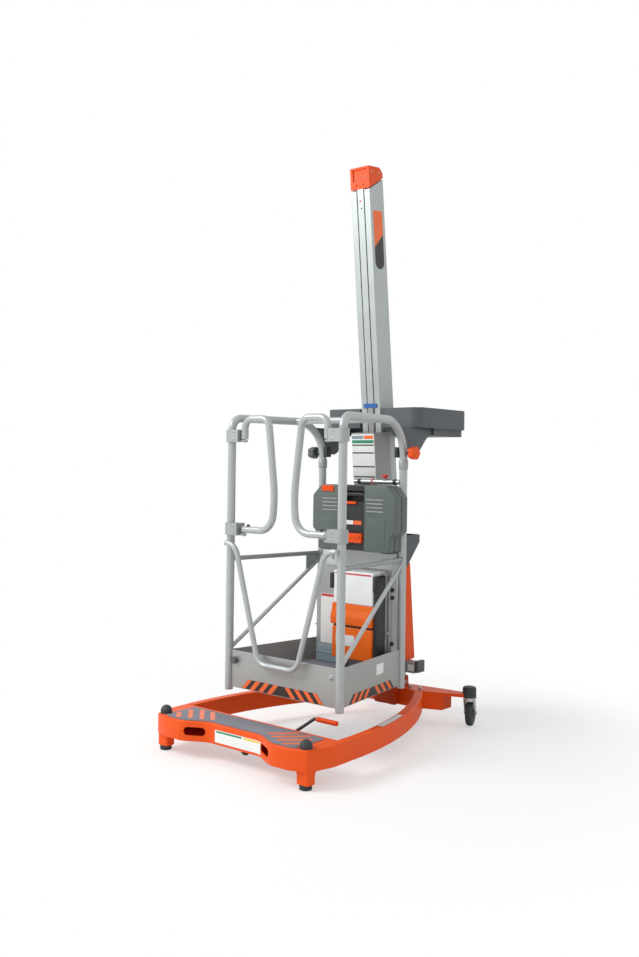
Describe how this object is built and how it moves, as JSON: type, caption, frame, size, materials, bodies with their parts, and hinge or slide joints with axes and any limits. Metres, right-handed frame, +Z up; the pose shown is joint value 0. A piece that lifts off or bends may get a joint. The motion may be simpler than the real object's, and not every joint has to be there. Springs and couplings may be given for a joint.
{
  "type": "vertical mast lift",
  "caption": "Push-around vertical mast lift: low orange base on casters, leaning telescopic mast, railed one-person platform with swing gates and work tray.",
  "frame": {"origin": "on the floor under the middle of the machine's overall box", "axes": "+X to the right seen from the entry side, +Y to the rear where the mast stands, +Z up"},
  "size_m": [0.87, 1.348, 2.5298],
  "materials": {
    "orange_paint": "gloss",
    "dark_orange_paint": "satin",
    "step_grip": "rough",
    "black_rubber": "matte",
    "caster_tread": "matte",
    "bright_steel": "satin",
    "black_steel": "satin",
    "mast_aluminium": "brushed",
    "frame_aluminium": "satin",
    "orange_plastic": "gloss",
    "graphite_plastic": "matte",
    "black_plastic": "matte",
    "case_plastic": "matte",
    "glide_blue": "gloss",
    "plate_white": "gloss",
    "signal_red": "gloss"
  },
  "bodies": {
    "base": {"front_beam": "orange_paint", "side_rails": "orange_paint", "rear_beam": "orange_paint", "mast_socket": "dark_orange_paint", "step_pad": "step_grip", "front_feet": "black_rubber", "corner_domes": "black_rubber", "jack_guide": "bright_steel", "mast_outer": "mast_aluminium", "mast_rear_cover": "orange_paint", "tie_bar": "frame_aluminium", "tie_bar_ends": "graphite_plastic", "outer_pads": "graphite_plastic"},
    "right_swivel": {"caster_fork_right": "bright_steel"},
    "right_wheel": {"caster_hub_right": "bright_steel", "caster_tyre_right": "caster_tread"},
    "left_swivel": {"caster_fork_left": "bright_steel"},
    "left_wheel": {"caster_hub_left": "bright_steel", "caster_tyre_left": "caster_tread"},
    "foot_lever": {"jack_lever": "black_steel", "jack_grip": "orange_plastic"},
    "jack": {"jack_stem": "bright_steel"},
    "jack_swivel": {"jack_fork": "bright_steel"},
    "jack_roller": {"jack_wheel": "black_rubber"},
    "middle_section": {"mast_middle": "mast_aluminium", "middle_pads": "graphite_plastic"},
    "carriage": {"mast_inner": "mast_aluminium", "mast_cap": "orange_plastic", "glide_pad": "glide_blue", "carriage_head": "frame_aluminium", "instruction_plate": "plate_white", "carriage_arms": "frame_aluminium", "carriage_box": "frame_aluminium", "power_pack": "orange_plastic", "pack_latches": "black_plastic", "cross_panel": "frame_aluminium", "side_wings": "graphite_plastic", "control_bar": "bright_steel", "stop_button": "signal_red", "deck": "step_grip", "toe_board_front": "frame_aluminium", "toe_boards_side": "frame_aluminium", "side_hoop_right": "frame_aluminium", "side_hoop_left": "frame_aluminium", "mid_rails": "frame_aluminium", "side_braces": "frame_aluminium", "entry_bar": "frame_aluminium", "gate_clamps": "bright_steel", "rear_cross_tube": "frame_aluminium", "tool_case": "case_plastic", "case_latches": "orange_plastic", "work_tray": "graphite_plastic", "tray_brackets": "graphite_plastic", "tray_knobs": "orange_plastic"},
    "right_gate": {"gate_right": "frame_aluminium"},
    "left_gate": {"gate_left": "frame_aluminium"}
  },
  "joints": [
    {"name": "right_caster_swivel", "type": "hinge", "parent": "base", "child": "right_swivel", "pos_m": [0.372, 0.539, 0.14], "axis": [0, 0, 1], "continuous": true},
    {"name": "right_wheel_spin", "type": "hinge", "parent": "right_swivel", "child": "right_wheel", "pos_m": [0.36242, 0.56531, 0.06], "axis": [0.9397, 0.342, 0], "continuous": true},
    {"name": "left_caster_swivel", "type": "hinge", "parent": "base", "child": "left_swivel", "pos_m": [-0.372, 0.539, 0.14], "axis": [0, 0, 1], "continuous": true},
    {"name": "left_wheel_spin", "type": "hinge", "parent": "left_swivel", "child": "left_wheel", "pos_m": [-0.36618, 0.56639, 0.06], "axis": [0.9781, -0.2079, 0], "continuous": true},
    {"name": "foot_lever_press", "type": "hinge", "parent": "base", "child": "foot_lever", "pos_m": [0.07, -0.431, 0.108], "axis": [1, 0, 0], "range_deg": [-45, 0]},
    {"name": "jack_lower", "type": "slide", "parent": "base", "child": "jack", "axis": [0, 0, -1], "range_m": [0, 0.04]},
    {"name": "jack_swivel_turn", "type": "hinge", "parent": "jack", "child": "jack_swivel", "pos_m": [0, -0.548, 0.08], "axis": [0, 0, 1], "continuous": true},
    {"name": "jack_wheel_spin", "type": "hinge", "parent": "jack_swivel", "child": "jack_roller", "pos_m": [0, -0.536, 0.052], "axis": [1, 0, 0], "continuous": true},
    {"name": "mast_extend", "type": "slide", "parent": "base", "child": "middle_section", "axis": [0, -0.1045, 0.9945], "range_m": [0, 1.9]},
    {"name": "carriage_rise", "type": "slide", "parent": "middle_section", "child": "carriage", "axis": [0, -0.1045, 0.9945], "range_m": [0, 1.9]},
    {"name": "right_gate_swing", "type": "hinge", "parent": "carriage", "child": "right_gate", "pos_m": [0.228, -0.3285, 1.1], "axis": [0, 0, 1], "range_deg": [-90, 0]},
    {"name": "left_gate_swing", "type": "hinge", "parent": "carriage", "child": "left_gate", "pos_m": [-0.228, -0.3285, 1.1], "axis": [0, 0, 1], "range_deg": [0, 90]}
  ],
  "couplings": [
    {"joint": "jack_lower", "follows": "foot_lever_press", "m_per_rad": -0.0509},
    {"joint": "mast_extend", "follows": "carriage_rise", "ratio": 1}
  ]
}
